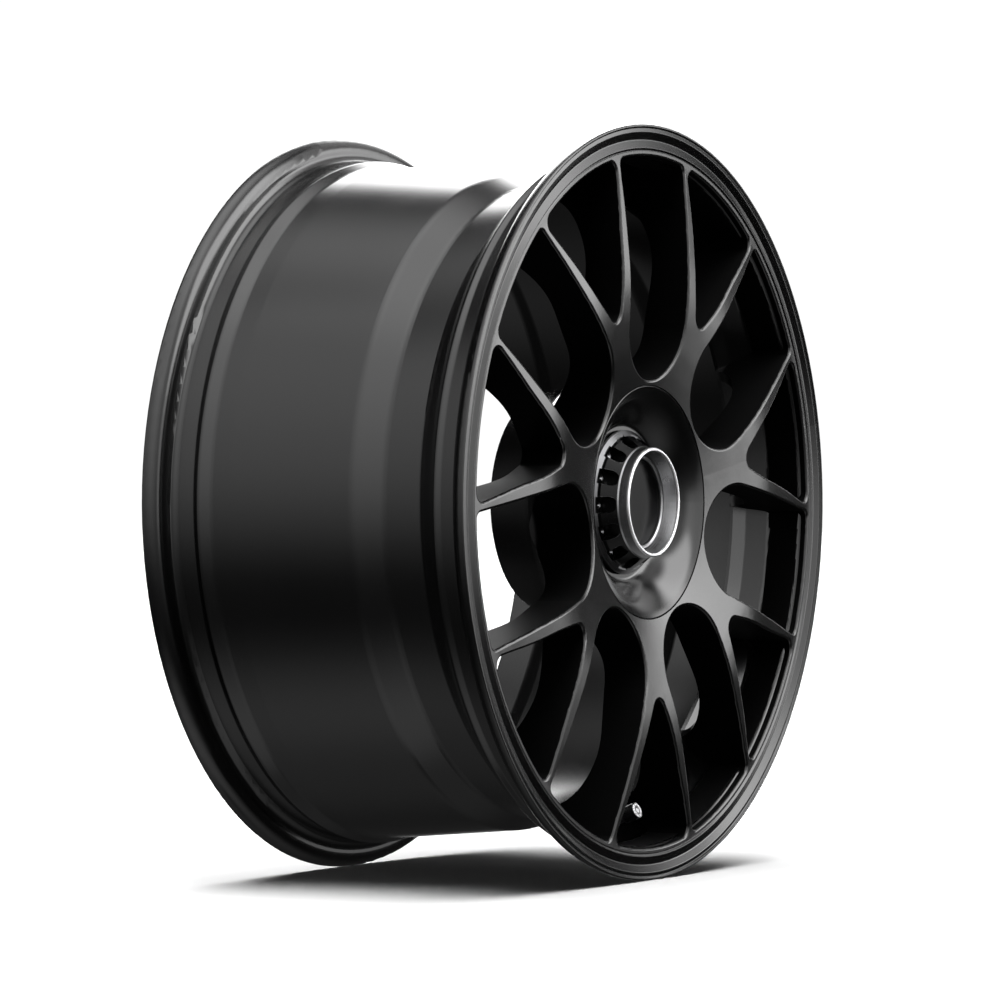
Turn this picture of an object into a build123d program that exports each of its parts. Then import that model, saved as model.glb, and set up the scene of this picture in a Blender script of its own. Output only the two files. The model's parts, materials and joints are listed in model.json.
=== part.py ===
from build123d import *
import math
import os

os.makedirs("parts", exist_ok=True)

# ---------------------------------------------------------------- dimensions
# Wheel frame: axle along Y, outer face towards -Y, up is +Z.
# Profiles are written as (radius, depth), depth counted from the front plane of the rim lip.
HALF_W = 119.3            # half of the overall width, 238.6 mm over both flanges
FLANGE_R = 248.3          # flange radius, 462.0 bead seat diameter / 2 + 17.3
BEAD_WALL = 11.35         # flange thickness at the bead wall
N_SPOKES = 7              # Y-shaped spokes
SPOKE0_DEG = 270.0        # one spoke points straight down
HUB_FACE_D = 84.3         # mounting face depth, offset +35 mm
PAD_FRONT_D = 60.0        # front of the hub pad inside the pocket
BORE_R = 36.55            # centre bore, 73.1 mm
POCKET_R = 70.5           # nut pocket radius
SEAT_R = 77.4             # counterbore for the dished cover
SEAT_D = 9.0              # depth of the cover ledge
LUG_PCD = 112.0
LUG_N = 5
LUG_HOLE_R = 7.5
EDGE_R = 1.8              # rounding of the spoke edges

# dished cover, nut and badge
COVER_R = 76.8
POST_R = 24.0
NUT_BORE_R = 24.05
NUT_SLOTS = 14
NUT_PHASE = 182.4

# tyre valve
VALVE_TILT = 22.4         # degrees away from the axle, towards the axis
VALVE_R, VALVE_D = 215.0, 42.9   # axis crosses the inner pad face here


def Y(d):
    return d - HALF_W


# ---------------------------------------------------------------- helpers
def rounded_loop(pts):
    """Closed outline from (x, y, fillet radius) corners, as a list of edges."""
    n = len(pts)
    tang = []
    for i in range(n):
        x, y, f = pts[i]
        px, py, _ = pts[i - 1]
        nx, ny, _ = pts[(i + 1) % n]
        if f <= 0:
            tang.append(((x, y), None, (x, y)))
            continue
        a = Vector(px - x, py - y).normalized()
        b = Vector(nx - x, ny - y).normalized()
        ang = math.acos(max(-1.0, min(1.0, a.dot(b))))
        t = f / math.tan(ang / 2)
        p1 = Vector(x, y) + a * t
        p2 = Vector(x, y) + b * t
        bis = (a + b).normalized()
        c = Vector(x, y) + bis * (f / math.sin(ang / 2))
        m = c - bis * f
        tang.append(((p1.X, p1.Y), (m.X, m.Y), (p2.X, p2.Y)))
    edges = []
    for i in range(n):
        s, m, e = tang[i]
        if m is not None:
            edges.append(ThreePointArc(s, m, e))
        nxt = tang[(i + 1) % n][0]
        if math.dist(e, nxt) > 1e-6:
            edges.append(Line(e, nxt))
    return edges


def face_of(edges):
    return make_face(Wire(edges))


def turned(pts):
    """Solid of revolution from (radius, depth, fillet) corners."""
    return revolve(face_of(rounded_loop([(r, Y(d), f) for r, d, f in pts])), Axis.Y, 360)


def turn_face(edges):
    return revolve(face_of(edges), Axis.Y, 360)


def rot(obj, deg):
    """Turn about the axle, counter-clockwise as seen from the front."""
    return Rot(0, -deg, 0) * obj


def prism(edges, d0, d1):
    """Outline in the wheel plane (x, z) pushed from depth d0 to depth d1."""
    f = face_of(edges)
    f = Plane(origin=(0, Y(d1), 0), x_dir=(1, 0, 0), z_dir=(0, -1, 0)) * f
    return extrude(f, amount=d1 - d0)


def rod(x, z, r, d0, d1):
    """Cylinder parallel to the axle."""
    return Plane(origin=(x, Y(d1), z), x_dir=(1, 0, 0), z_dir=(0, -1, 0)) * Cylinder(
        r, d1 - d0, align=(Align.CENTER, Align.CENTER, Align.MIN))


def polar(r, deg):
    return r * math.cos(math.radians(deg)), r * math.sin(math.radians(deg))


# ---------------------------------------------------------------- forged rim
# outer face of the spokes, from the cover seat to the lip
FACE = [(70.0, 5.6), (77.0, 4.3), (84.0, 3.1), (92.0, 1.85), (100.0, 0.65), (108.0, -0.45),
        (116.0, -1.4), (124.0, -2.35), (132.0, -3.15), (140.0, -3.7), (148.0, -3.95),
        (156.0, -3.9), (164.0, -3.55), (172.0, -3.0), (180.0, -2.4), (188.0, -1.8),
        (196.0, -1.15), (204.0, -0.35), (212.0, 0.55), (220.0, 1.35), (226.0, 1.8), (230.6, 1.95)]
# back of the spokes, from the drop centre to the hub drum
BACK = [(204.0, 51.0), (201.0, 42.0), (194.5, 35.0), (184.0, 28.9), (172.0, 25.2), (160.0, 24.4),
        (148.0, 25.7), (138.0, 27.2), (122.0, 29.5), (106.0, 32.0), (99.5, 34.4), (94.0, 37.4),
        (89.5, 40.6), (85.6, 43.9), (82.6, 47.0), (80.4, 50.2), (79.2, 53.4)]
DRUM_R = 71.8             # outside of the hub drum at the mounting face

lip = [(231.3, 2.35, 0.4), (232.7, 1.35, 0.7), (238.2, 2.9, 1.8), (243.2, 0.65, 1.2), (245.8, 1.05, 0.5),
       (246.7, 0.0, 0.35), (248.3, 0.0, 0.9),
       (248.3, BEAD_WALL, 9.5), (231.2, BEAD_WALL, 6.0), (229.9, 27.0, 3.0), (231.3, 31.2, 3.0),
       (228.2, 35.6, 3.0), (216.7, 47.7, 8.0), (209.5, 52.4, 5.0), (209.5, 81.0, 9.0),
       (219.0, 98.8, 12.0), (226.5, 185.0, 20.0), (227.5, 199.0, 6.0), (231.3, 206.6, 3.0),
       (229.9, 211.0, 3.0), (231.3, 2 * HALF_W - BEAD_WALL, 6.0), (248.3, 2 * HALF_W - BEAD_WALL, 9.5),
       (248.3, 2 * HALF_W, 1.0), (242.2, 2 * HALF_W, 2.0), (236.2, 232.6, 4.0), (225.6, 232.6, 1.5),
       (225.6, 206.0, 12.0), (222.2, 197.0, 12.0), (213.8, 101.0, 14.0), (204.0, 83.0, 8.0),
       (204.0, 51.0, 0.0)]
# corner list of the open part of the section, closed by the two splines and the hub
sec = [(r, Y(d), f) for r, d, f in lip]
helper = rounded_loop([(FACE[-1][0], Y(FACE[-1][1]), 0.0)] + sec + [(BACK[-1][0], Y(BACK[-1][1]), 0.0),
                      (DRUM_R, Y(HUB_FACE_D), 1.6), (60.0, Y(HUB_FACE_D), 0.0)])


def keep(e):
    a, b = e @ 0, e @ 1
    # drop the two straight closers that the splines and the hub replace
    if abs(a.X - BACK[0][0]) < 1e-3 and abs(b.X - BACK[-1][0]) < 1e-3:
        return False
    if abs(a.X - 60.0) < 1e-3 and abs(b.X - FACE[-1][0]) < 1e-3:
        return False
    return True


edges = [e for e in helper if keep(e)]
back = Spline(*[(r, Y(d)) for r, d in BACK], tangents=[(0.0, -1.0), (-0.23, 0.973)])
front = Spline(*[(r, Y(d)) for r, d in FACE])
# the front spline starts inside the pocket wall and is trimmed by the cover seat below
blank = turn_face(edges + [back, front] + [
    Line((60.0, Y(HUB_FACE_D)), (BORE_R, Y(HUB_FACE_D))),
    Line((BORE_R, Y(HUB_FACE_D)), (BORE_R, Y(PAD_FRONT_D))),
    Line((BORE_R, Y(PAD_FRONT_D)), (FACE[0][0], Y(PAD_FRONT_D))),
    Line((FACE[0][0], Y(PAD_FRONT_D)), (FACE[0][0], Y(FACE[0][1])))])

# pocket for the wheel bolts and ledge for the dished cover
pocket = turned([(60.0, 0.0, 0), (SEAT_R, 0.0, 0), (SEAT_R, SEAT_D, 0), (POCKET_R, SEAT_D, 0),
                 (POCKET_R, PAD_FRONT_D, 3.0), (60.0, PAD_FRONT_D, 0)])
blank = blank - pocket

# window openings, in the wheel plane
RIM_IN = 227.3
half = 180.0 / N_SPOKES


def u_window():
    """Wide window between two spokes, centred on +X."""
    c, rad, div = 118.95, 38.2, 3.1
    a = math.radians(div)
    tx, tz = c - rad * math.sin(a), rad * math.cos(a)
    # side line runs out to the rim circle
    k = math.tan(a)
    # x^2 + (tz + k (x - tx))^2 = RIM_IN^2
    A = 1 + k * k
    B = 2 * k * (tz - k * tx)
    C = (tz - k * tx) ** 2 - RIM_IN ** 2
    ox = (-B + math.sqrt(B * B - 4 * A * C)) / (2 * A)
    oz = tz + k * (ox - tx)
    return [ThreePointArc((tx, -tz), (c - rad, 0), (tx, tz)), Line((tx, tz), (ox, oz)),
            ThreePointArc((ox, oz), (RIM_IN, 0), (ox, -oz)), Line((ox, -oz), (tx, -tz))]


def v_window():
    """Narrow window inside one spoke, centred on +X."""
    pts = [(133.9, 6.8), (149.2, 15.75), (177.6, 29.4), (205.3, 43.9)]
    k = 0.512
    x1, z1 = pts[-1]
    A = 1 + k * k
    B = 2 * k * (z1 - k * x1)
    C = (z1 - k * x1) ** 2 - RIM_IN ** 2
    ox = (-B + math.sqrt(B * B - 4 * A * C)) / (2 * A)
    oz = z1 + k * (ox - x1)
    pts.append((ox, oz))
    up = Spline(*pts, tangents=[(0.863, 0.505), (0.890, 0.456)])
    dn = Spline(*[(x, -z) for x, z in reversed(pts)], tangents=[(-0.890, 0.456), (-0.863, 0.505)])
    return [ThreePointArc((133.9, -6.8), (130.0, 0), (133.9, 6.8)), up,
            ThreePointArc((ox, oz), (RIM_IN, 0), (ox, -oz)), dn]


def window_face(edges, corner):
    f = face_of(edges)
    vs = [v for v in f.vertices() if math.hypot(v.X, v.Y) > RIM_IN - 0.5]
    f = fillet(vs, corner)
    f = Plane(origin=(0, Y(95.0), 0), x_dir=(1, 0, 0), z_dir=(0, -1, 0)) * f
    return extrude(f, amount=110.0)


# space inside the barrel that the windows may use
cavity = turned([(60.0, -12.0, 0), (232.0, -12.0, 0), (232.0, 2.2, 0), (226.0, 8.2, 2.0), (226.0, 31.6, 4.0),
                 (214.2, 43.6, 6.0), (205.6, 49.2, 0), (202.6, 52.4, 0), (202.6, 92.0, 0), (60.0, 92.0, 0)])
# keep the seam lines of both round blanks out of the way of the window walls
cavity = Rot(0, 180, 0) * cavity
blank = rot(blank, 90 - 1.5 * 2 * half)
cut_u = window_face(u_window(), 5.0) & cavity
cut_v = window_face(v_window(), 6.5) & cavity
cutters = []
for k in range(N_SPOKES):
    a = SPOKE0_DEG + k * 2 * half
    cutters.append(rot(cut_v, a))
    cutters.append(rot(cut_u, a + half))
rim = blank - cutters


# rounded spoke edges
def on_face(e):
    for t in (0.0, 0.25, 0.5, 0.75, 1.0):
        p = e @ t
        r = math.hypot(p.X, p.Z)
        if r < 79.0 or r > 229.5:
            return False
        d = p.Y + HALF_W
        for i in range(len(FACE) - 1):
            if FACE[i][0] <= r <= FACE[i + 1][0]:
                u = (r - FACE[i][0]) / (FACE[i + 1][0] - FACE[i][0])
                df = FACE[i][1] + u * (FACE[i + 1][1] - FACE[i][1])
        if abs(d - df) > 0.12:
            return False
    return True


tops = [e for e in rim.edges() if on_face(e)]
rim = fillet(tops, EDGE_R)

# valve pad, hole and spot faces
ct, st = math.cos(math.radians(VALVE_TILT)), math.sin(math.radians(VALVE_TILT))
VAX = Plane(origin=(0, Y(VALVE_D), -VALVE_R), x_dir=(1, 0, 0), z_dir=(0, -ct, st))


def vcyl(r, w0, w1):
    """Cylinder on the valve axis from w0 to w1, w = 0 at the inner pad face."""
    return VAX * Pos(0, 0, w0) * Cylinder(r, w1 - w0, align=(Align.CENTER, Align.CENTER, Align.MIN))


rim = rim + vcyl(10.0, -5.0, 0.0)
rim = rim - vcyl(9.0, 0.0, 9.0) - vcyl(10.5, -16.0, -5.0) - vcyl(5.75, -6.0, 1.0)

# wheel bolt holes with stepped seats for the steel inserts
for k in range(LUG_N):
    x, z = polar(LUG_PCD / 2, 90 + k * 360 / LUG_N)
    rim = rim - rod(x, z, 12.5, PAD_FRONT_D - 2, 81.0) - rod(x, z, 9.5, 79.0, HUB_FACE_D + 2)
    xr, zr = polar(57.0, 90 + 36 + k * 360 / LUG_N)
    rim = rim - rod(xr, zr, 10.0, 72.0, HUB_FACE_D + 2)

print("rim", rim.is_valid, rim.volume, len(rim.solids()))
export_step(rim, "parts/forged_rim.step")

# ---------------------------------------------------------------- wheel bolt seats
insert = turned([(LUG_HOLE_R, 62.0, 0), (12.5, 62.0, 0), (12.5, 81.0, 0), (LUG_HOLE_R, 81.0, 0)])
cone = turned([(0.0, 61.0, 0), (12.077, 61.0, 0), (7.0, 69.794, 0), (0.0, 69.794, 0)])
insert = insert - cone
inserts = []
for k in range(LUG_N):
    x, z = polar(LUG_PCD / 2, 90 + k * 360 / LUG_N)
    inserts.append(Pos(x, 0, z) * insert)
export_step(Compound(children=inserts), "parts/bolt_seat_inserts.step")

# centring ring between the wheel bore and the car's hub
ring = turned([(33.3, 73.0, 0), (BORE_R, 73.0, 0), (BORE_R, HUB_FACE_D, 0), (34.1, HUB_FACE_D, 0), (33.3, 83.5, 0)])
export_step(ring, "parts/hub_centring_ring.step")

# ---------------------------------------------------------------- centre cap
# carrier: push-in skirt, flange, shoulder and threaded post
SKIRT_R = BORE_R - 0.08
carrier = turned([(20.0, 17.0, 0), (23.3, 17.0, 0), (POST_R, 17.7, 0), (POST_R, 28.5, 0), (31.0, 28.5, 0),
                  (31.0, 53.0, 3.0), (42.0, 54.5, 1.0), (42.0, PAD_FRONT_D, 0), (SKIRT_R, PAD_FRONT_D, 0),
                  (SKIRT_R, 62.6, 0), (35.0, 62.6, 0), (35.0, 63.9, 0), (SKIRT_R, 63.9, 0), (SKIRT_R, 70.0, 0.6),
                  (32.0, 70.0, 0.6), (32.0, 57.5, 2.0), (27.0, 54.0, 3.0), (27.0, 34.0, 3.0), (20.0, 31.0, 3.0)])
DOWEL_R, DOWEL_PCR = 2.0, 27.6
dowels = []
for k in range(3):
    x, z = polar(DOWEL_PCR, 90 + 120 * k)
    carrier = carrier - rod(x, z, DOWEL_R, 27.0, 32.0)
    dowels.append(rod(x, z, DOWEL_R, 26.5, 32.0))
export_step(carrier, "parts/cap_carrier.step")
export_step(Compound(children=dowels), "parts/cover_dowels.step")

# spring ring that grips the wheel bore
tension = revolve(Pos(35.62, Y(63.25)) * Circle(0.57), Axis.Y, 360)
export_step(tension, "parts/carrier_tension_ring.step")

# dished cover
DISH = [(76.3, 4.55), (73.0, 5.75), (69.0, 7.75), (65.0, 10.55), (61.0, 14.1), (57.4, 18.1),
        (54.6, 21.7), (52.4, 24.2), (50.2, 25.0)]
DISH_BACK = [(51.2, 28.5), (54.4, 27.2), (57.2, 24.0), (60.3, 20.0), (63.8, 16.2), (67.2, 13.4), (70.0, 11.7)]
cover = turn_face([
    Spline(*[(r, Y(d)) for r, d in DISH], tangents=[(-0.945, 0.327), (-1.0, 0.06)]),
    Line((50.2, Y(25.0)), (24.4, Y(25.0))), Line((24.4, Y(25.0)), (24.4, Y(28.5))),
    Line((24.4, Y(28.5)), (51.2, Y(28.5))),
    Spline(*[(r, Y(d)) for r, d in DISH_BACK], tangents=[(1.0, -0.08), (0.87, -0.49)]),
    Line((70.0, Y(11.7)), (70.0, Y(8.0))), Line((70.0, Y(8.0)), (COVER_R, Y(8.0))),
    Line((COVER_R, Y(8.0)), (COVER_R, Y(5.05))),
    ThreePointArc((COVER_R, Y(5.05)), (76.66, Y(4.7)), (76.3, Y(4.55)))])
for k in range(3):
    x, z = polar(DOWEL_PCR, 90 + 120 * k)
    cover = cover - rod(x, z, DOWEL_R, 26.5, 30.0)
print("cover", cover.is_valid, cover.volume)
export_step(cover, "parts/dished_cover.step")

# gasket under the cover flange
gasket = turned([(71.4, 8.0, 0), (76.2, 8.0, 0), (76.2, SEAT_D, 0), (71.4, SEAT_D, 0)])
export_step(gasket, "parts/cover_gasket.step")

# thrust washer between cover and nut
washer = turned([(24.4, 23.6, 0), (46.0, 23.6, 0), (46.0, 25.0, 0), (24.4, 25.0, 0)])
export_step(washer, "parts/thrust_washer.step")

# slotted centre nut with a cup for the badge
NUT_BACK = 23.6
nut = turned([(30.9, 12.4, 0), (34.0, 2.4, 0), (34.0, 2.2, 0), (35.9, 2.2, 0), (36.3, 7.6, 0), (36.9, 8.6, 1.2),
              (43.5, 17.6, 1.0), (43.5, 19.5, 0.5), (47.6, 21.9, 0.5), (47.6, NUT_BACK, 0.5),
              (42.0, NUT_BACK, 0), (42.0, 21.8, 0), (39.6, 21.8, 0), (39.6, NUT_BACK, 0),
              (NUT_BORE_R + 0.6, NUT_BACK, 0), (NUT_BORE_R, 23.0, 0), (NUT_BORE_R, 15.6, 0), (30.9, 15.6, 0)])
slot_len = 12.0
for k in range(NUT_SLOTS):
    a = NUT_PHASE + k * 360 / NUT_SLOTS
    # pocket runs along the nut, rounded towards the front, open at the flange
    pocket_o = (Cylinder(5.3, 12.0, align=(Align.CENTER, Align.CENTER, Align.MIN)) +
                Pos(0, -slot_len / 2, 0) * Box(10.6, slot_len, 12.0, align=(Align.CENTER, Align.CENTER, Align.MIN)))
    # local: z radial, y against depth
    pocket_o = Plane(origin=(37.2, Y(13.6), 0), x_dir=(0, 0, 1), z_dir=(1, 0, 0)) * pocket_o
    trim = turned([(37.0, 8.0, 0), (50.0, 8.0, 0), (50.0, 20.4, 0), (37.0, 20.4, 0)])
    if k == 0:
        slot0 = pocket_o & trim
        dimple0 = Plane(origin=(40.4, Y(21.5), 0), x_dir=(1, 0, 0), z_dir=(0, -1, 0)) * Cone(
            0.6, 2.7, 1.2, align=(Align.CENTER, Align.CENTER, Align.MIN))
    nut = nut - rot(slot0, a)
print("nut", nut.is_valid, nut.volume, len(nut.solids()))
for k in range(NUT_SLOTS):
    nut = nut - rot(dimple0, NUT_PHASE + k * 360 / NUT_SLOTS)
print("nut", nut.is_valid, nut.volume, len(nut.solids()))
export_step(nut, "parts/centre_nut.step")

oring = turn_face([ThreePointArc((39.7, Y(22.7)), (40.8, Y(21.85)), (41.9, Y(22.7))),
                   ThreePointArc((41.9, Y(22.7)), (40.8, Y(23.55)), (39.7, Y(22.7)))])
export_step(oring, "parts/nut_o_ring.step")

# machined ring pressed on the mouth of the cup
lipring = turned([(33.65, 2.2, 0), (33.65, 1.0, 0.4), (34.2, 0.6, 0.3), (35.3, 0.6, 0.3), (35.85, 1.2, 0.3), (35.85, 2.2, 0)])
export_step(lipring, "parts/nut_lip_ring.step")

# badge: plain disc, bezel in front, spring clip behind
bezel = turned([(28.7, 12.4, 0), (28.7, 11.2, 0.4), (29.6, 10.4, 0.4), (30.7, 10.4, 0.2), (30.9, 12.4, 0)])
disc = turned([(0.0, 12.4, 0), (30.7, 12.4, 0), (30.7, 13.8, 0), (0.0, 13.8, 0)])
clip = turned([(26.0, 13.8, 0), (30.9, 13.8, 0), (30.9, 15.6, 0), (29.9, 15.6, 0), (29.9, 14.8, 0), (26.0, 14.8, 0)])
export_step(bezel, "parts/badge_bezel.step")
export_step(disc, "parts/badge_disc.step")
export_step(clip, "parts/badge_clip.step")

# ---------------------------------------------------------------- tyre valve
def vturn(pts):
    """Turned about the valve axis from (radius, w, fillet) corners."""
    f = make_face(Wire(rounded_loop([(r, w, q) for r, w, q in pts])))
    s = revolve(f, Axis.Y, 360)               # w along +Y
    return VAX * (Rot(90, 0, 0) * s)          # +Y to +Z of the valve plane


STEM_R, CORE_BORE = 4.0, 2.6
stem = vturn([(1.35, -12.0, 0), (7.4, -12.0, 0.8), (7.4, -9.0, 0), (STEM_R, -9.0, 0), (STEM_R, 17.0, 0),
              (3.87, 17.3, 0), (3.87, 28.9, 0), (3.5, 29.3, 0), (CORE_BORE, 29.3, 0), (CORE_BORE, 8.0, 0), (1.35, 8.0, 0)])
export_step(stem, "parts/valve_stem.step")
grommet = vturn([(STEM_R, -9.0, 0), (8.6, -9.0, 0.8), (8.9, -5.0, 0), (5.75, -5.0, 0), (5.75, 0.0, 0), (STEM_R, 0.0, 0)])
export_step(grommet, "parts/valve_grommet.step")
vwasher = vturn([(STEM_R, 0.0, 0), (7.5, 0.0, 0), (7.5, 1.2, 0.2), (STEM_R, 1.2, 0)])
export_step(vwasher, "parts/valve_washer.step")
hexnut = VAX * Pos(0, 0, 1.2) * extrude(RegularPolygon(7.0, 6), amount=4.5)
hexnut = hexnut & vturn([(0.0, 1.2, 0), (7.0, 1.2, 0), (7.0, 5.1, 0), (6.1, 5.7, 0), (0.0, 5.7, 0)])
hexnut = hexnut - vcyl(STEM_R, 1.0, 6.0)
export_step(hexnut, "parts/valve_hex_nut.step")
core = vturn([(2.1, 16.0, 0), (2.1, 24.0, 0), (1.0, 24.0, 0), (1.0, 27.5, 0), (CORE_BORE, 27.5, 0), (CORE_BORE, 15.0, 0),
              (2.3, 14.0, 0), (1.0, 14.0, 0), (1.0, 16.0, 0)])
export_step(core, "parts/valve_core_body.step")
pin = vturn([(0.0, 10.6, 0), (0.65, 10.6, 0), (0.65, 12.4, 0), (1.9, 12.4, 0), (1.9, 13.9, 0), (0.65, 13.9, 0),
             (0.65, 22.3, 0), (1.75, 22.3, 0), (1.75, 23.2, 0), (0.65, 23.2, 0), (0.65, 28.6, 0), (0.0, 28.6, 0)])
export_step(pin, "parts/valve_core_pin.step")
hl = Helix(pitch=1.2, height=6.0, radius=1.42)
spr = sweep(Plane(origin=hl @ 0, z_dir=hl % 0) * Circle(0.18), path=hl)
spr = VAX * Pos(0, 0, 16.15) * spr
print("spring", spr.is_valid, spr.volume)
export_step(spr, "parts/valve_core_spring.step")
capseal = vturn([(1.6, 29.3, 0), (3.75, 29.3, 0), (3.75, 30.2, 0), (1.6, 30.2, 0)])
export_step(capseal, "parts/valve_cap_seal.step")
cap = vturn([(3.93, 21.0, 0), (5.1, 21.0, 0.3), (5.5, 22.2, 0.3), (5.5, 28.9, 0), (5.0, 28.9, 0), (5.0, 29.6, 0),
             (5.5, 29.6, 0), (5.5, 31.4, 0.3), (4.9, 32.0, 0.3), (0.0, 32.0, 0), (0.0, 30.2, 0), (3.93, 30.2, 0)])
# grip flutes
for k in range(20):
    fl = VAX * Pos(5.75 * math.cos(k * math.pi / 10), 5.75 * math.sin(k * math.pi / 10), 22.6) * Cylinder(
        0.45, 5.9, align=(Align.CENTER, Align.CENTER, Align.MIN))
    cap = cap - fl
export_step(cap, "parts/valve_cap.step")
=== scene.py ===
import json
import math

import bpy
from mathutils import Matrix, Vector

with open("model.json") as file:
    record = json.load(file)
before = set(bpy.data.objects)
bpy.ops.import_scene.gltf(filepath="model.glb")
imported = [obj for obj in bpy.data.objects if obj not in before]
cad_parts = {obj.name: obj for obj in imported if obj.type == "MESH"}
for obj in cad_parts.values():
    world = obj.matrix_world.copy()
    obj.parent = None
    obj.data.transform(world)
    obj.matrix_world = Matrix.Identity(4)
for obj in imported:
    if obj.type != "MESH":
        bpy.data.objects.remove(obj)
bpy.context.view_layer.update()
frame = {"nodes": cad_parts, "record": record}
NODES = frame["nodes"]

# ---------------------------------------------------------------- node helpers


class Tree:
    """A small writer for shader trees."""

    def __init__(self, tree):
        self.t = tree
        self.n = tree.nodes
        self.l = tree.links
        self.n.clear()

    def put(self, socket, value):
        if value is None:
            return
        if hasattr(value, "node"):
            self.l.new(value, socket)
        else:
            socket.default_value = value

    def math(self, op, a, b=None, c=None, clamp=False):
        m = self.n.new("ShaderNodeMath")
        m.operation = op
        m.use_clamp = clamp
        self.put(m.inputs[0], a)
        self.put(m.inputs[1], b)
        self.put(m.inputs[2], c)
        return m.outputs[0]

    def remap(self, v, a0, a1, b0, b1, smooth=True):
        m = self.n.new("ShaderNodeMapRange")
        m.interpolation_type = "SMOOTHSTEP" if smooth else "LINEAR"
        self.put(m.inputs["Value"], v)
        m.inputs["From Min"].default_value = a0
        m.inputs["From Max"].default_value = a1
        m.inputs["To Min"].default_value = b0
        m.inputs["To Max"].default_value = b1
        return m.outputs["Result"]

    def object_xyz(self):
        tc = self.n.new("ShaderNodeTexCoord")
        return tc.outputs["Object"]

    def split(self, vec):
        s = self.n.new("ShaderNodeSeparateXYZ")
        self.l.new(vec, s.inputs[0])
        return s.outputs

    def join(self, x, y, z):
        c = self.n.new("ShaderNodeCombineXYZ")
        self.put(c.inputs[0], x)
        self.put(c.inputs[1], y)
        self.put(c.inputs[2], z)
        return c.outputs[0]

    def scale(self, vec, s):
        m = self.n.new("ShaderNodeMapping")
        self.l.new(vec, m.inputs["Vector"])
        m.inputs["Scale"].default_value = s
        return m.outputs[0]

    def noise(self, vec, scale, detail=3.0, rough=0.55, distort=0.0):
        n = self.n.new("ShaderNodeTexNoise")
        self.l.new(vec, n.inputs["Vector"])
        n.inputs["Scale"].default_value = scale
        n.inputs["Detail"].default_value = detail
        n.inputs["Roughness"].default_value = rough
        n.inputs["Distortion"].default_value = distort
        return n.outputs["Fac"]

    def voronoi(self, vec, scale, feature="F1", rand=1.0):
        n = self.n.new("ShaderNodeTexVoronoi")
        n.feature = feature
        self.l.new(vec, n.inputs["Vector"])
        n.inputs["Scale"].default_value = scale
        n.inputs["Randomness"].default_value = rand
        return n.outputs["Distance"]

    def ramp(self, fac, stops):
        r = self.n.new("ShaderNodeValToRGB")
        r.color_ramp.interpolation = "B_SPLINE" if len(stops) > 3 else "EASE"
        e = r.color_ramp.elements
        while len(e) < len(stops):
            e.new(0.5)
        for i, (p, c) in enumerate(stops):
            e[i].position = p
            e[i].color = (c[0], c[1], c[2], 1.0) if hasattr(c, "__len__") else (c, c, c, 1.0)
        self.put(r.inputs[0], fac)
        return r.outputs[0]

    def mix(self, fac, a, b):
        m = self.n.new("ShaderNodeMix")
        m.data_type = "RGBA"
        self.put(m.inputs[0], fac)
        for s, v in ((m.inputs[6], a), (m.inputs[7], b)):
            if hasattr(v, "node"):
                self.l.new(v, s)
            else:
                s.default_value = (v[0], v[1], v[2], 1.0)
        return m.outputs[2]

    def bump(self, height, strength, distance, normal=None):
        b = self.n.new("ShaderNodeBump")
        b.inputs["Strength"].default_value = strength
        b.inputs["Distance"].default_value = distance
        self.l.new(height, b.inputs["Height"])
        if normal is not None:
            self.l.new(normal, b.inputs["Normal"])
        return b.outputs[0]

    def edges(self, radius, lo, hi):
        """0 on open faces, 1 along outside and inside edges."""
        bev = self.n.new("ShaderNodeBevel")
        bev.samples = 4
        bev.inputs["Radius"].default_value = radius
        geo = self.n.new("ShaderNodeNewGeometry")
        dot = self.n.new("ShaderNodeVectorMath")
        dot.operation = "DOT_PRODUCT"
        self.l.new(bev.outputs[0], dot.inputs[0])
        self.l.new(geo.outputs["Normal"], dot.inputs[1])
        return self.remap(dot.outputs["Value"], hi, lo, 0.0, 1.0)

    def radius_from_axle(self, xyz):
        s = self.split(xyz)
        x2 = self.math("MULTIPLY", s[0], s[0])
        z2 = self.math("MULTIPLY", s[2], s[2])
        return self.math("SQRT", self.math("ADD", x2, z2)), s

    def surface(self, shader):
        out = self.n.new("ShaderNodeOutputMaterial")
        self.l.new(shader, out.inputs["Surface"])


def principled(t, color, rough, normal=None, metallic=0.0, specular=0.5, coat=0.0, coat_rough=0.1, ior=1.5):
    p = t.n.new("ShaderNodeBsdfPrincipled")
    if hasattr(color, "node"):
        t.l.new(color, p.inputs["Base Color"])
    else:
        p.inputs["Base Color"].default_value = (*color, 1.0)
    t.put(p.inputs["Roughness"], rough)
    p.inputs["Metallic"].default_value = metallic
    p.inputs["IOR"].default_value = ior
    p.inputs["Specular IOR Level"].default_value = specular
    p.inputs["Coat Weight"].default_value = coat
    p.inputs["Coat Roughness"].default_value = coat_rough
    if normal is not None:
        t.l.new(normal, p.inputs["Normal"])
    t.surface(p.outputs[0])
    return p


def new_material(name):
    m = bpy.data.materials.new(name)
    m.use_nodes = True
    return m, Tree(m.node_tree)


# ------------------------------------------------------------------- materials


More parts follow.
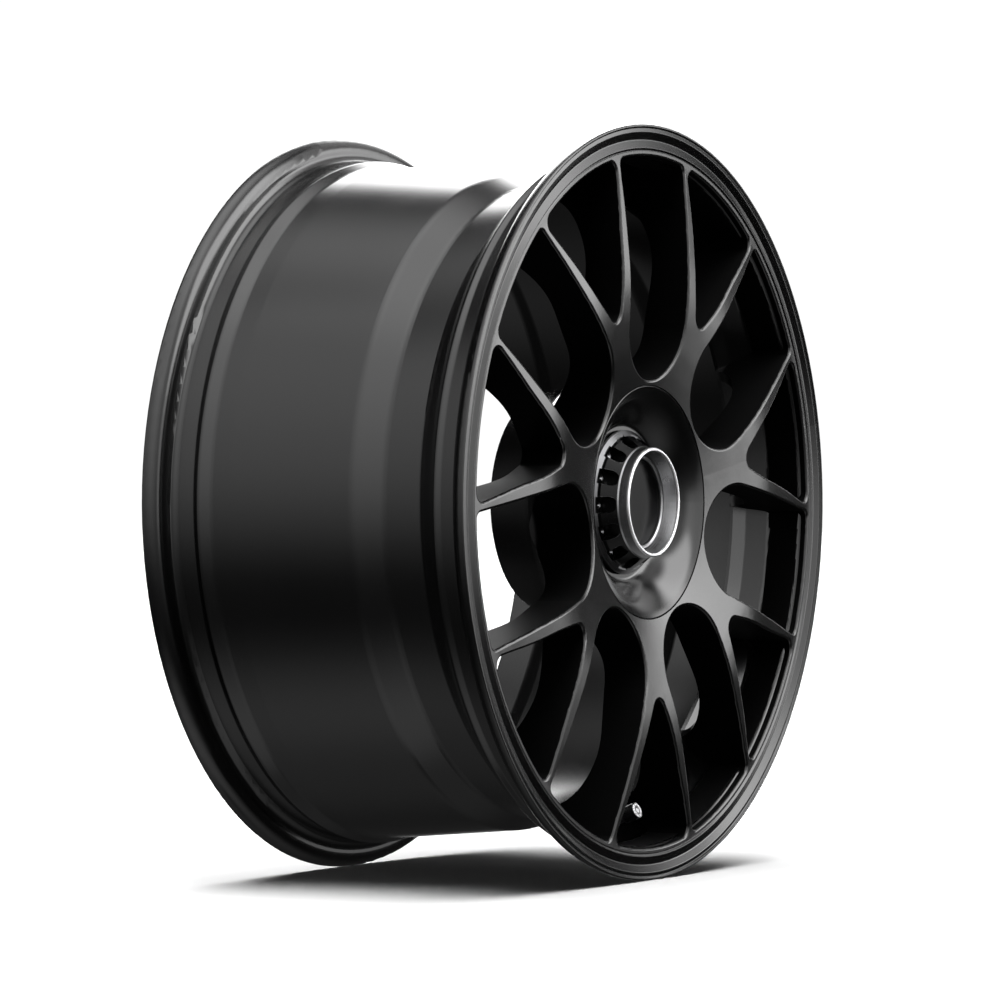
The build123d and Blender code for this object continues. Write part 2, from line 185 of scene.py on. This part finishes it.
def satin_paint(name, dark, light, rough_lo, rough_hi, peel=0.10, specular=0.5, shade_walls=False):
    """Satin powder coat: orange peel, cloudy gloss, fine dust and a little rub on the edges; optionally painted shade
    on the window side walls.
    """
    m, t = new_material(name)
    p = t.object_xyz()
    cloud = t.noise(p, 9.0, 4.0, 0.6)
    fine = t.noise(p, 900.0, 3.0, 0.6)
    peel_n = t.noise(p, 420.0, 2.0, 0.45, 0.3)
    speck = t.remap(t.voronoi(p, 620.0), 0.05, 0.16, 1.0, 0.0)
    sparse = t.remap(t.noise(p, 35.0, 2.0, 0.5), 0.55, 0.72, 0.0, 1.0)
    dust = t.math("MULTIPLY", speck, sparse, clamp=True)
    base = t.mix(cloud, dark, light)
    base = t.mix(t.math("MULTIPLY", dust, 0.20), base, (0.030, 0.030, 0.029))
    rub = t.math("MULTIPLY", t.edges(0.0011, 0.90, 0.995), t.remap(t.noise(p, 60.0, 4.0, 0.65), 0.50, 0.72, 0.0, 0.55))
    base = t.mix(rub, base, (0.014, 0.014, 0.0145))
    rough = t.remap(t.math("ADD", t.math("MULTIPLY", cloud, 0.7), t.math("MULTIPLY", fine, 0.3)), 0.25, 0.75, rough_lo, rough_hi)
    rough = t.math("SUBTRACT", rough, t.math("MULTIPLY", rub, 0.06))
    n = t.bump(peel_n, peel, 0.00012)
    n = t.bump(fine, peel * 0.5, 0.00004, n)
    if not shade_walls:
        principled(t, base, rough, n, specular=specular)
        return m
    # painted shade: the side walls of the windows lose almost all their reflection, turn rougher and take a flat
    # near-black colour, so they read as shaded
    tc = t.n.new("ShaderNodeTexCoord")
    ny = t.math("ABSOLUTE", t.split(tc.outputs["Normal"])[1])
    r, s = t.radius_from_axle(p)
    depth = t.math("ADD", s[1], 0.1193)
    wall_shade_mask = t.math("MULTIPLY", t.remap(ny, 0.22, 0.42, 1.0, 0.0), t.remap(r, 0.0760, 0.0800, 0.0, 1.0))
    wall_shade_mask = t.math("MULTIPLY", wall_shade_mask, t.remap(r, 0.2285, 0.2295, 1.0, 0.0))
    wall_shade_mask = t.math("MULTIPLY", wall_shade_mask, t.remap(depth, 0.044, 0.048, 1.0, 0.0))
    base = t.mix(wall_shade_mask, base, t.mix(fine, (0.0030, 0.0030, 0.0031), (0.0085, 0.0085, 0.0086)))
    rough = t.math("ADD", rough, t.math("MULTIPLY", wall_shade_mask, 0.28))
    sh = principled(t, base, rough, n)
    # painted shade: reflection on the window side walls is cut to a few percent
    t.l.new(t.math("SUBTRACT", specular, t.math("MULTIPLY", wall_shade_mask, specular * 0.96)), sh.inputs["Specular IOR Level"])
    return m


def anodised(name, dark, light, rough_lo, rough_hi, specular=0.5):
    """Black anodised turned part: faint tool rings, worn corners."""
    m, t = new_material(name)
    p = t.object_xyz()
    r, s = t.radius_from_axle(p)
    rings = t.noise(t.join(t.math("MULTIPLY", r, 1.0), t.math("MULTIPLY", s[1], 1.0), 0.0), 2600.0, 2.0, 0.6)
    cloud = t.noise(p, 40.0, 3.0, 0.6)
    base = t.mix(cloud, dark, light)
    wear = t.math("MULTIPLY", t.edges(0.0006, 0.86, 0.99), t.remap(t.noise(p, 170.0, 4.0, 0.65), 0.40, 0.66, 0.0, 0.75))
    base = t.mix(wear, base, (0.16, 0.16, 0.165))
    rough = t.remap(t.math("ADD", t.math("MULTIPLY", cloud, 0.5), t.math("MULTIPLY", rings, 0.5)), 0.3, 0.7, rough_lo, rough_hi)
    n = t.bump(rings, 0.16, 0.00005)
    principled(t, base, rough, n, specular=specular)
    return m


def nut_finish(name):
    """Centre nut: black hard-anodised ribs, lighter turned collar and flange, bare drilled dimples."""
    m, t = new_material(name)
    p = t.object_xyz()
    r, s = t.radius_from_axle(p)
    depth = t.math("ADD", s[1], 0.1193)
    rings = t.noise(t.join(r, s[1], 0.0), 2300.0, 3.0, 0.6)
    streak = t.noise(t.scale(p, (1.0, 0.25, 1.0)), 240.0, 3.0, 0.6)
    cloud = t.noise(p, 45.0, 3.0, 0.6)
    collar = t.remap(r, 0.03675, 0.03705, 1.0, 0.0)
    flange = t.remap(r, 0.04370, 0.04395, 0.0, 1.0)
    pale = t.math("ADD", collar, flange, clamp=True)
    drilled = t.math("MULTIPLY", t.remap(depth, 0.02043, 0.02050, 0.0, 1.0), t.math("MULTIPLY", t.remap(r, 0.0370, 0.0375, 0.0, 1.0), t.remap(r, 0.0433, 0.0436, 1.0, 0.0)))
    base = t.mix(cloud, (0.0030, 0.0030, 0.0032), (0.0060, 0.0060, 0.0063))
    grain = t.math("ADD", t.math("MULTIPLY", streak, 0.6), t.math("MULTIPLY", rings, 0.4))
    grey = t.mix(grain, (0.17, 0.17, 0.174), (0.31, 0.31, 0.316))
    grey = t.mix(flange, grey, t.mix(grain, (0.055, 0.055, 0.057), (0.110, 0.110, 0.113)))
    base = t.mix(pale, base, grey)
    base = t.mix(drilled, base, (0.16, 0.16, 0.165))
    wear = t.math("MULTIPLY", t.edges(0.0006, 0.86, 0.99), t.remap(t.noise(p, 170.0, 4.0, 0.65), 0.40, 0.66, 0.0, 0.75))
    base = t.mix(wear, base, (0.20, 0.20, 0.205))
    metal = t.math("MAXIMUM", t.math("MAXIMUM", pale, drilled), t.math("MULTIPLY", wear, 0.8))
    rough = t.remap(t.math("ADD", t.math("MULTIPLY", cloud, 0.5), t.math("MULTIPLY", rings, 0.5)), 0.3, 0.7, 0.19, 0.29)
    rough = t.math("ADD", rough, t.math("MULTIPLY", pale, 0.06))
    n = t.bump(rings, 0.18, 0.00005)
    n = t.bump(streak, 0.05, 0.00006, n)
    sh = principled(t, base, rough, n, specular=0.18)
    t.l.new(metal, sh.inputs["Metallic"])
    return m


def valve_cap_finish(name):
    """Black valve cap with a bright crowned end face."""
    m, t = new_material(name)
    p = t.object_xyz()
    s = t.split(p)
    # distance along the valve axis from its foot
    ct, st = math.cos(math.radians(22.4)), math.sin(math.radians(22.4))
    y0, z0 = 0.0429 - 0.1193, -0.215
    w_ax = t.math("ADD", t.math("MULTIPLY", t.math("SUBTRACT", s[1], y0), -ct), t.math("MULTIPLY", t.math("SUBTRACT", s[2], z0), st))
    v_ax = t.math("ADD", t.math("MULTIPLY", t.math("SUBTRACT", s[1], y0), st), t.math("MULTIPLY", t.math("SUBTRACT", s[2], z0), ct))
    rr = t.math("SQRT", t.math("ADD", t.math("MULTIPLY", s[0], s[0]), t.math("MULTIPLY", v_ax, v_ax)))
    end = t.remap(w_ax, 0.03150, 0.03180, 0.0, 1.0)
    ring = t.math("MULTIPLY", t.remap(rr, 0.0016, 0.0020, 0.0, 1.0), t.remap(rr, 0.0029, 0.0033, 1.0, 0.0))
    cloud = t.noise(p, 260.0, 4.0, 0.65)
    turn = t.noise(t.join(rr, w_ax, 0.0), 5200.0, 2.0, 0.6)
    bright = t.mix(t.remap(t.noise(p, 900.0, 2.0, 0.6), 0.42, 0.58, 0.0, 1.0), (0.16, 0.16, 0.165), (0.62, 0.62, 0.63))
    bright = t.mix(t.math("MULTIPLY", ring, 0.92), bright, (0.05, 0.05, 0.052))
    base = t.mix(end, t.mix(cloud, (0.006, 0.006, 0.0063), (0.014, 0.014, 0.0145)), bright)
    rough = t.remap(t.math("ADD", t.math("MULTIPLY", cloud, 0.7), t.math("MULTIPLY", turn, 0.3)), 0.3, 0.7, 0.22, 0.44)
    n = t.bump(turn, 0.35, 0.00008)
    n = t.bump(cloud, 0.25, 0.00018, n)
    sh = principled(t, base, rough, n)
    t.l.new(end, sh.inputs["Metallic"])
    return m


def turned_metal(name, dark, light, rough_lo, rough_hi, ring=1900.0, depth=0.22, metallic=1.0):
    """Bright lathe-turned metal about the axle."""
    m, t = new_material(name)
    p = t.object_xyz()
    r, s = t.radius_from_axle(p)
    rings = t.noise(t.join(r, s[1], 0.0), ring, 3.0, 0.65)
    broad = t.noise(t.join(r, s[1], 0.0), ring * 0.12, 2.0, 0.5)
    cloud = t.noise(p, 55.0, 3.0, 0.55)
    base = t.mix(t.math("ADD", t.math("MULTIPLY", rings, 0.6), t.math("MULTIPLY", cloud, 0.4)), dark, light)
    rough = t.remap(t.math("ADD", t.math("MULTIPLY", rings, 0.6), t.math("MULTIPLY", broad, 0.4)), 0.3, 0.7, rough_lo, rough_hi)
    n = t.bump(rings, depth, 0.00006)
    principled(t, base, rough, n, metallic=metallic)
    return m


def gloss_plastic(name, base_a, base_b, rough_lo, rough_hi):
    """Gloss black disc under a clear layer: handling haze and hair scratches."""
    m, t = new_material(name)
    p = t.object_xyz()
    haze = t.noise(p, 85.0, 4.0, 0.6)
    hair = t.noise(t.scale(p, (1.0, 1.0, 0.06)), 2600.0, 2.0, 0.5)
    base = t.mix(haze, base_a, base_b)
    rough = t.remap(t.math("ADD", t.math("MULTIPLY", haze, 0.8), t.math("MULTIPLY", hair, 0.2)), 0.3, 0.75, rough_lo, rough_hi)
    n = t.bump(hair, 0.02, 0.00003)
    principled(t, base, rough, n, specular=0.05, coat=0.03, coat_rough=0.10)
    return m


def plated(name, dark, light, rough_lo, rough_hi, tint=None):
    """Plated or drawn small hardware."""
    m, t = new_material(name)
    p = t.object_xyz()
    spangle = t.voronoi(p, 520.0)
    cloud = t.noise(p, 160.0, 4.0, 0.6)
    base = t.mix(t.math("ADD", t.math("MULTIPLY", spangle, 0.35), t.math("MULTIPLY", cloud, 0.65)), dark, light)
    if tint is not None:
        base = t.mix(t.remap(t.noise(p, 70.0, 3.0, 0.6), 0.45, 0.75, 0.0, 0.5), base, tint)
    rough = t.remap(cloud, 0.3, 0.7, rough_lo, rough_hi)
    n = t.bump(t.noise(p, 1500.0, 3.0, 0.6), 0.10, 0.00004)
    principled(t, base, rough, n, metallic=1.0)
    return m


def moulded(name, dark, light, rough_lo, rough_hi, grain=1400.0):
    """Moulded rubber or polymer: fine grain, bloom."""
    m, t = new_material(name)
    p = t.object_xyz()
    g = t.noise(p, grain, 4.0, 0.6)
    bloom = t.noise(p, 60.0, 3.0, 0.6)
    base = t.mix(bloom, dark, light)
    rough = t.remap(t.math("ADD", t.math("MULTIPLY", g, 0.4), t.math("MULTIPLY", bloom, 0.6)), 0.3, 0.7, rough_lo, rough_hi)
    n = t.bump(g, 0.25, 0.00008)
    principled(t, base, rough, n, specular=0.4)
    return m


MATS = {
    "rim_paint": satin_paint("rim_satin_black", (0.0016, 0.0016, 0.0017), (0.0028, 0.0028, 0.0029), 0.17, 0.23, shade_walls=True),
    "cover_paint": satin_paint("cover_satin_black", (0.0016, 0.0016, 0.0017), (0.0028, 0.0028, 0.0029), 0.14, 0.20, peel=0.05),
    "nut_black": nut_finish("nut_anodised_black"),
    "machined_bright": turned_metal("lip_turned_bright", (0.84, 0.84, 0.85), (0.97, 0.97, 0.98), 0.26, 0.42, metallic=0.72),
    "bezel_bright": turned_metal("bezel_satin_turned", (0.20, 0.20, 0.205), (0.30, 0.30, 0.305), 0.24, 0.36),
    "badge_black": gloss_plastic("badge_gloss_black", (0.003, 0.003, 0.0034), (0.006, 0.006, 0.0066), 0.14, 0.24),
    "carrier_alu": turned_metal("carrier_turned_aluminium", (0.42, 0.42, 0.43), (0.60, 0.60, 0.61), 0.28, 0.42, ring=1300.0),
    "zinc_steel": plated("zinc_plated_steel", (0.45, 0.45, 0.44), (0.62, 0.62, 0.60), 0.30, 0.45, tint=(0.55, 0.52, 0.42)),
    "spring_steel": plated("spring_steel_drawn", (0.35, 0.35, 0.36), (0.52, 0.52, 0.53), 0.24, 0.36),
    "ring_polymer": moulded("centring_polymer", (0.030, 0.030, 0.031), (0.050, 0.050, 0.051), 0.42, 0.58),
    "rubber_black": moulded("moulded_rubber", (0.012, 0.012, 0.012), (0.022, 0.022, 0.022), 0.55, 0.72),
    "valve_black": anodised("valve_anodised_black", (0.010, 0.010, 0.011), (0.020, 0.020, 0.021), 0.28, 0.38),
    "valve_chrome": valve_cap_finish("valve_cap_black_bright_end"),
    "core_brass": plated("core_brass_drawn", (0.62, 0.47, 0.20), (0.78, 0.62, 0.30), 0.22, 0.34),
}

slots = {s["node"]: s["material_slot"] for s in frame["record"]["subparts"]}
for name, ob in NODES.items():
    slot = slots[name]
    ob.data.materials.clear()
    ob.data.materials.append(MATS[slot])

# even shading along the thin strips of the turned faces
wn = NODES["forged_rim"].modifiers.new("even_shading", "WEIGHTED_NORMAL")
wn.mode = "FACE_AREA_WITH_ANGLE"
wn.weight = 75
wn.keep_sharp = True

# ----------------------------------------------------------------------- stage

FLOOR_Z = -0.2483

me = bpy.data.meshes.new("floor")
S = 30.0
me.from_pydata([(-S, -S, FLOOR_Z), (S, -S, FLOOR_Z), (S, S, FLOOR_Z), (-S, S, FLOOR_Z)], [], [(0, 1, 2, 3)])
floor = bpy.data.objects.new("floor", me)
bpy.context.scene.collection.objects.link(floor)
m, t = new_material("floor_pale")
d = t.n.new("ShaderNodeBsdfDiffuse")
d.inputs["Color"].default_value = (0.95, 0.95, 0.95, 1.0)
t.surface(d.outputs[0])
me.materials.append(m)
floor.visible_glossy = False
floor.visible_diffuse = False

# world: soft studio surround made of a few broad panels round the wheel.
# Directions are azimuth about +Z from +X, and elevation, in degrees.
world = bpy.data.worlds.new("studio")
bpy.context.scene.world = world
world.cycles.sampling_method = "NONE"
world.use_nodes = True
w = Tree(world.node_tree)
tc = w.n.new("ShaderNodeTexCoord")
dx, dy, dz = w.split(tc.outputs["Generated"])
DEG = 180.0 / math.pi
elev = w.math("MULTIPLY", w.math("ARCSINE", w.math("MAXIMUM", w.math("MINIMUM", dz, 0.99999), -0.99999)), DEG)


def azimuth_from(az0):
    """Angle round +Z from the direction az0, -180 to 180."""
    c, s = math.cos(math.radians(az0)), math.sin(math.radians(az0))
    along = w.math("ADD", w.math("MULTIPLY", dx, c), w.math("MULTIPLY", dy, s))
    side = w.math("ADD", w.math("MULTIPLY", dx, -s), w.math("MULTIPLY", dy, c))
    return w.math("MULTIPLY", w.math("ARCTAN2", side, along), DEG)


def window(v, lo, hi, soft_lo, soft_hi):
    """1 between lo and hi with smooth shoulders outside."""
    up = w.remap(v, lo - soft_lo / 2, lo + soft_lo / 2, 0.0, 1.0)
    down = w.remap(v, hi - soft_hi / 2, hi + soft_hi / 2, 1.0, 0.0)
    return w.math("MULTIPLY", up, down)


def panel(az0, half, soft, e0, e1, soft0, soft1, strength):
    k = w.math("MULTIPLY", window(azimuth_from(az0), -half, half, soft, soft), window(elev, e0, e1, soft0, soft1))
    return w.math("MULTIPLY", k, strength)


def profile(v, v0, v1, stops, top):
    """Piecewise level: stops are (value, level)."""
    t01 = w.remap(v, v0, v1, 0.0, 1.0, smooth=False)
    r = w.n.new("ShaderNodeValToRGB")
    r.color_ramp.interpolation = "CARDINAL"
    e = r.color_ramp.elements
    while len(e) < len(stops):
        e.new(0.5)
    for i, (p, lvl) in enumerate(stops):
        q = (p - v0) / (v1 - v0)
        e[i].position = min(1.0, max(0.0, q))
        e[i].color = (lvl / top, lvl / top, lvl / top, 1.0)
    w.put(r.inputs[0], t01)
    return w.math("MULTIPLY", w.math("MULTIPLY", r.outputs[0], 1.0), top)


# overhead bank
env = w.remap(elev, 46.0, 84.0, 0.0, 3.1)
# tall panel on the barrel side
side_el = profile(elev, -90.0, 90.0, [(-90, 0.0), (-45, 0.0), (-33, 0.05), (-20, 0.17), (-10, 0.60), (0, 1.15), (10, 1.62), (22, 2.00), (45, 2.55), (62, 2.3), (85, 0.2)], 2.8)
side_az = profile(azimuth_from(190.0), -180.0, 180.0, [(-180, 0.0), (-85, 0.0), (-68, 0.12), (-56, 0.52), (-30, 0.74), (0, 0.98), (20, 1.05), (45, 0.74), (72, 0.45), (100, 0.0), (180, 0.0)], 1.1)
env = w.math("ADD", env, w.math("MULTIPLY", side_el, side_az))
# key panel in front of the face, up and to the right
env = w.math("ADD", env, panel(-70.0, 30.0, 14.0, 19.0, 54.0, 9.0, 12.0, 7.2))
# its low skirt
env = w.math("ADD", env, panel(-68.0, 38.0, 12.0, -5.0, 19.0, 11.0, 9.0, 1.9))
env = w.math("ADD", env, panel(-39.0, 11.0, 9.0, 0.5, 19.0, 10.0, 9.0, 4.0))
# bright panel behind on the right, and the pale backdrop under it
env = w.math("ADD", env, panel(27.0, 26.0, 14.0, 6.0, 39.0, 12.0, 8.0, 6.0))
env = w.math("ADD", env, panel(32.0, 34.0, 16.0, -9.0, 8.0, 10.0, 12.0, 1.3))
# weak fill between the two front panels
env = w.math("ADD", env, panel(-8.0, 22.0, 16.0, 18.0, 44.0, 10.0, 12.0, 1.1))
# light thrown back by the floor
floor_el = profile(elev, -90.0, 0.0, [(-90, 0.50), (-72, 0.75), (-58, 0.60), (-47, 0.26), (-38, 0.06), (-28, 0.0), (0, 0.0)], 1.0)
floor_az = profile(azimuth_from(200.0), -180.0, 180.0, [(-180, 0.15), (-110, 0.35), (-60, 0.85), (0, 1.0), (60, 0.85), (110, 0.45), (180, 0.15)], 1.0)
env = w.math("ADD", env, w.math("MULTIPLY", floor_el, floor_az))
env = w.math("ADD", env, 0.03)

bg = w.n.new("ShaderNodeBackground")
w.l.new(env, bg.inputs["Strength"])
bg.inputs["Color"].default_value = (1, 1, 1, 1)
# matt surfaces are lit from a soft top light
top_light = w.n.new("ShaderNodeBackground")
w.l.new(w.math("ADD", w.remap(elev, 50.0, 80.0, 0.0, 9.0), 0.02), top_light.inputs["Strength"])
top_light.inputs["Color"].default_value = (1, 1, 1, 1)
white = w.n.new("ShaderNodeBackground")
white.inputs["Color"].default_value = (1, 1, 1, 1)
white.inputs["Strength"].default_value = 1.05
lp = w.n.new("ShaderNodeLightPath")
mt = w.n.new("ShaderNodeMixShader")
w.l.new(lp.outputs["Is Diffuse Ray"], mt.inputs[0])
w.l.new(bg.outputs[0], mt.inputs[1])
w.l.new(top_light.outputs[0], mt.inputs[2])
mx = w.n.new("ShaderNodeMixShader")
w.l.new(lp.outputs["Is Camera Ray"], mx.inputs[0])
w.l.new(mt.outputs[0], mx.inputs[1])
w.l.new(white.outputs[0], mx.inputs[2])
wo = w.n.new("ShaderNodeOutputWorld")
w.l.new(mx.outputs[0], wo.inputs["Surface"])

# ---------------------------------------------------------------------- camera

cam_d = bpy.data.cameras.new("camera")
cam = bpy.data.objects.new("camera", cam_d)
bpy.context.scene.collection.objects.link(cam)
cam.location = (-2.7403, -1.5974, 0.0015)
cam.rotation_mode = "QUATERNION"
cam.rotation_quaternion = Vector((0.86407, 0.50338, 0.0)).to_track_quat("-Z", "Y")
cam_d.sensor_width = 36.0
cam_d.lens = 170.32
cam_d.clip_start = 0.05
cam_d.clip_end = 200.0
bpy.context.scene.camera = cam

bpy.context.scene.view_settings.view_transform = "Standard"
bpy.context.scene.view_settings.look = "None"
bpy.context.scene.view_settings.exposure = 0.0
bpy.context.scene.view_settings.gamma = 1.0
